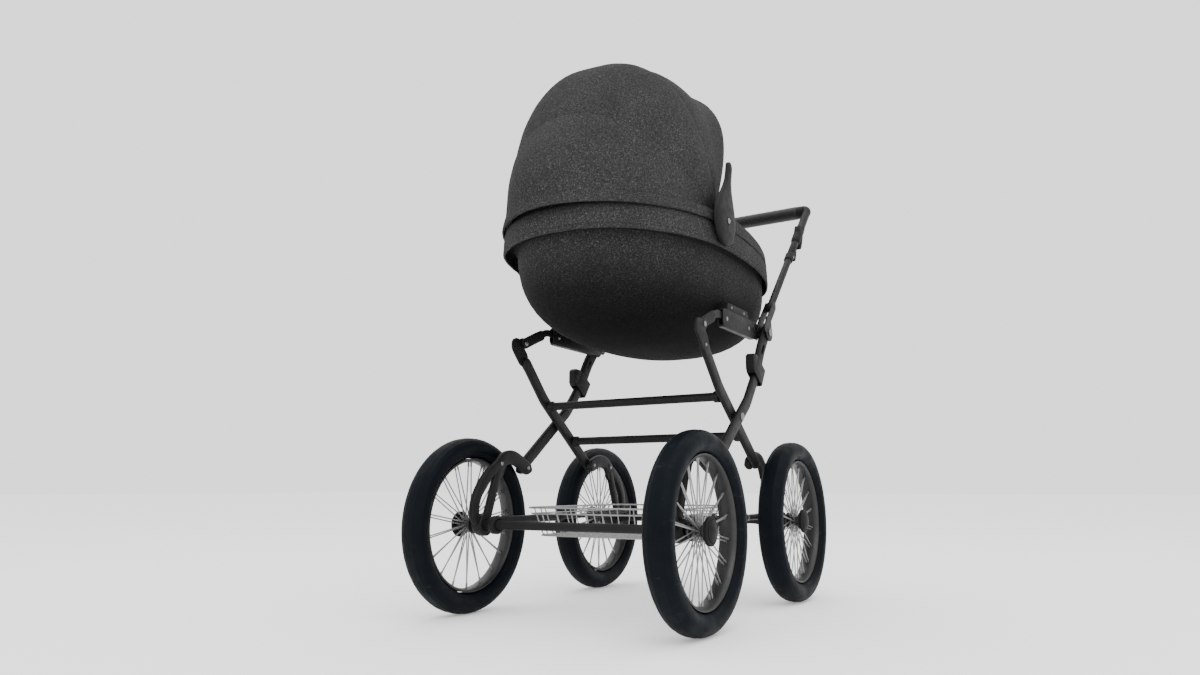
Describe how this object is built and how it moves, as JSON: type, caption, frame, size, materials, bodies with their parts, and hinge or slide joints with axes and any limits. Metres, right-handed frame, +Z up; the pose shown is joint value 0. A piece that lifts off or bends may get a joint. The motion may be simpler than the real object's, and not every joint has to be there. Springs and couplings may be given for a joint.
{
  "type": "baby stroller",
  "caption": "Classic pram-style baby stroller: carrycot with folding hood on a folding scissor chassis with large spoked wheels, wire basket and height-adjustable handle.",
  "frame": {"origin": "on the ground, under the middle of the bounding box", "axes": "+Z up; +Y towards the push handle and the child's feet; +X to the right of somebody looking along +Y"},
  "size_m": [0.578, 1.01, 1.1865],
  "materials": {
    "frame_paint": "matt powder coat",
    "dark_plastic": "moulded, fine texture",
    "tyre_rubber": "matt rubber",
    "steel_wire": "zinc plated",
    "melange_fabric": "charcoal melange weave",
    "tub_fabric": "charcoal melange weave",
    "padding": "soft cotton",
    "grip_leather": "smooth imitation leather"
  },
  "bodies": {
    "undercarriage": {"rear_axle": "frame_paint", "side_rod_right": "steel_wire", "side_rod_left": "steel_wire", "basket": "steel_wire"},
    "brake_pedal": {"brake_pedal": "dark_plastic"},
    "rear_legs": {"rear_leg_right": "frame_paint", "rear_leg_left": "frame_paint", "rear_bracket_right": "frame_paint", "rear_bracket_left": "frame_paint", "upper_crossbar": "frame_paint", "lower_crossbar": "frame_paint"},
    "front_legs": {"front_leg_right": "frame_paint", "front_leg_left": "frame_paint", "front_bracket_right": "frame_paint", "front_bracket_left": "frame_paint", "front_axle": "frame_paint"},
    "side_tubes": {"side_tube_right": "frame_paint", "side_tube_left": "frame_paint"},
    "carrier_rails": {"carrier_rail_right": "frame_paint", "carrier_rail_left": "frame_paint"},
    "sliding_links": {"sliding_link_right": "frame_paint", "sliding_link_left": "frame_paint"},
    "lock_collar_right": {"lock_collar_right": "dark_plastic"},
    "lock_collar_left": {"lock_collar_left": "dark_plastic"},
    "handle_sides": {"handle_side_right": "frame_paint", "handle_side_left": "frame_paint"},
    "handle_bow": {"handle_bow": "frame_paint", "handle_grip": "grip_leather"},
    "height_lever_right": {"height_lever_right": "dark_plastic"},
    "height_lever_left": {"height_lever_left": "dark_plastic"},
    "release_trigger_right": {"release_trigger_right": "dark_plastic"},
    "release_trigger_left": {"release_trigger_left": "dark_plastic"},
    "carrycot": {"carrycot_tub": "tub_fabric", "mattress": "padding", "valance": "melange_fabric", "apron": "melange_fabric", "carrycot_adaptor_right": "dark_plastic", "carrycot_adaptor_left": "dark_plastic", "canopy": "melange_fabric"},
    "hood_front_bow": {"hood_front_bow": "steel_wire"},
    "hood_middle_bow": {"hood_middle_bow": "steel_wire"},
    "hood_opening_bow": {"hood_opening_bow": "steel_wire", "hood_hinge_plate_right": "dark_plastic", "hood_hinge_plate_left": "dark_plastic"},
    "front_right_wheel": {"front_right_tyre": "tyre_rubber", "front_right_spoked_rim": "steel_wire", "front_right_hub_cap": "dark_plastic"},
    "front_left_wheel": {"front_left_tyre": "tyre_rubber", "front_left_spoked_rim": "steel_wire", "front_left_hub_cap": "dark_plastic"},
    "rear_right_wheel": {"rear_right_tyre": "tyre_rubber", "rear_right_spoked_rim": "steel_wire", "rear_right_hub_cap": "dark_plastic"},
    "rear_left_wheel": {"rear_left_tyre": "tyre_rubber", "rear_left_spoked_rim": "steel_wire", "rear_left_hub_cap": "dark_plastic"}
  },
  "joints": [
    {"name": "chassis_fold", "type": "hinge", "parent": "undercarriage", "child": "rear_legs", "pos_m": [0, 0.184, 0.175], "axis": [1, 0, 0], "range_deg": [0, 27]},
    {"name": "front_leg_fold", "type": "hinge", "parent": "rear_legs", "child": "front_legs", "pos_m": [0, -0.058, 0.393], "axis": [1, 0, 0], "range_deg": [-52.62, 0]},
    {"name": "side_tube_fold", "type": "hinge", "parent": "front_legs", "child": "side_tubes", "pos_m": [0, -0.33, 0.175], "axis": [1, 0, 0], "range_deg": [0, 25.62]},
    {"name": "carrier_rail_fold", "type": "hinge", "parent": "front_legs", "child": "carrier_rails", "pos_m": [0, 0.117, 0.597], "axis": [1, 0, 0], "range_deg": [0, 25.62]},
    {"name": "sliding_link_fold", "type": "hinge", "parent": "rear_legs", "child": "sliding_links", "pos_m": [0, -0.205, 0.565], "axis": [1, 0, 0], "range_deg": [-28, 0]},
    {"name": "handle_fold", "type": "hinge", "parent": "front_legs", "child": "handle_sides", "pos_m": [0, 0.117, 0.597], "axis": [1, 0, 0], "range_deg": [0, 141]},
    {"name": "carrycot_lift_off", "type": "slide", "parent": "undercarriage", "child": "carrycot", "axis": [0, -0.8, 0.6], "range_m": [0, 1.26]},
    {"name": "handle_height", "type": "slide", "parent": "handle_sides", "child": "handle_bow", "axis": [0, 0.7046, 0.7096], "range_m": [0, 0.08]},
    {"name": "brake_press", "type": "hinge", "parent": "undercarriage", "child": "brake_pedal", "pos_m": [0, 0.184, 0.175], "axis": [1, 0, 0], "range_deg": [-18, 0], "stiffness_Nm_per_rad": 3},
    {"name": "lock_collar_right_slide", "type": "slide", "parent": "front_legs", "child": "lock_collar_right", "axis": [0, 0.5592, 0.829], "range_m": [-0.014, 0], "stiffness_N_per_m": 400},
    {"name": "height_lever_right_lift", "type": "hinge", "parent": "handle_bow", "child": "height_lever_right", "pos_m": [0.23, 0.41945, 0.90838], "axis": [1, 0, 0], "range_deg": [0, 18], "stiffness_Nm_per_rad": 1},
    {"name": "release_trigger_right_pull", "type": "hinge", "parent": "handle_bow", "child": "release_trigger_right", "pos_m": [0.23, 0.36518, 0.85799], "axis": [1, 0, 0], "range_deg": [0, 14], "stiffness_Nm_per_rad": 1},
    {"name": "lock_collar_left_slide", "type": "slide", "parent": "front_legs", "child": "lock_collar_left", "axis": [0, 0.5592, 0.829], "range_m": [-0.014, 0], "stiffness_N_per_m": 400},
    {"name": "height_lever_left_lift", "type": "hinge", "parent": "handle_bow", "child": "height_lever_left", "pos_m": [-0.23, 0.41945, 0.90838], "axis": [1, 0, 0], "range_deg": [0, 18], "stiffness_Nm_per_rad": 1},
    {"name": "release_trigger_left_pull", "type": "hinge", "parent": "handle_bow", "child": "release_trigger_left", "pos_m": [-0.23, 0.36518, 0.85799], "axis": [1, 0, 0], "range_deg": [0, 14], "stiffness_Nm_per_rad": 1},
    {"name": "front_right_wheel_spin", "type": "hinge", "parent": "front_legs", "child": "front_right_wheel", "pos_m": [0.258, -0.33, 0.175], "axis": [1, 0, 0], "continuous": true},
    {"name": "front_left_wheel_spin", "type": "hinge", "parent": "front_legs", "child": "front_left_wheel", "pos_m": [-0.258, -0.33, 0.175], "axis": [1, 0, 0], "continuous": true},
    {"name": "rear_right_wheel_spin", "type": "hinge", "parent": "undercarriage", "child": "rear_right_wheel", "pos_m": [0.258, 0.184, 0.175], "axis": [1, 0, 0], "continuous": true},
    {"name": "rear_left_wheel_spin", "type": "hinge", "parent": "undercarriage", "child": "rear_left_wheel", "pos_m": [-0.258, 0.184, 0.175], "axis": [1, 0, 0], "continuous": true},
    {"name": "hood_fold", "type": "hinge", "parent": "carrycot", "child": "hood_front_bow", "pos_m": [0, -0.161, 0.781], "axis": [1, 0, 0], "range_deg": [0, 28], "deforming": ["canopy"]},
    {"name": "hood_middle_bow_fold", "type": "hinge", "parent": "hood_front_bow", "child": "hood_middle_bow", "pos_m": [0, -0.161, 0.781], "axis": [1, 0, 0], "range_deg": [0, 28.5]},
    {"name": "hood_opening_bow_fold", "type": "hinge", "parent": "hood_middle_bow", "child": "hood_opening_bow", "pos_m": [0, -0.161, 0.781], "axis": [1, 0, 0], "range_deg": [0, 27.5]}
  ],
  "couplings": [
    {"joint": "front_leg_fold", "follows": "chassis_fold", "ratio": -1.912},
    {"joint": "side_tube_fold", "follows": "chassis_fold", "ratio": 0.912},
    {"joint": "carrier_rail_fold", "follows": "chassis_fold", "ratio": 0.912},
    {"joint": "sliding_link_fold", "follows": "chassis_fold", "ratio": -1},
    {"joint": "handle_fold", "follows": "chassis_fold", "ratio": 5.1852},
    {"joint": "carrycot_lift_off", "follows": "chassis_fold", "m_per_rad": 2.6526},
    {"joint": "release_trigger_left_pull", "follows": "release_trigger_right_pull", "ratio": 1},
    {"joint": "hood_middle_bow_fold", "follows": "hood_fold", "ratio": 1},
    {"joint": "hood_opening_bow_fold", "follows": "hood_fold", "ratio": 0.96429}
  ]
}
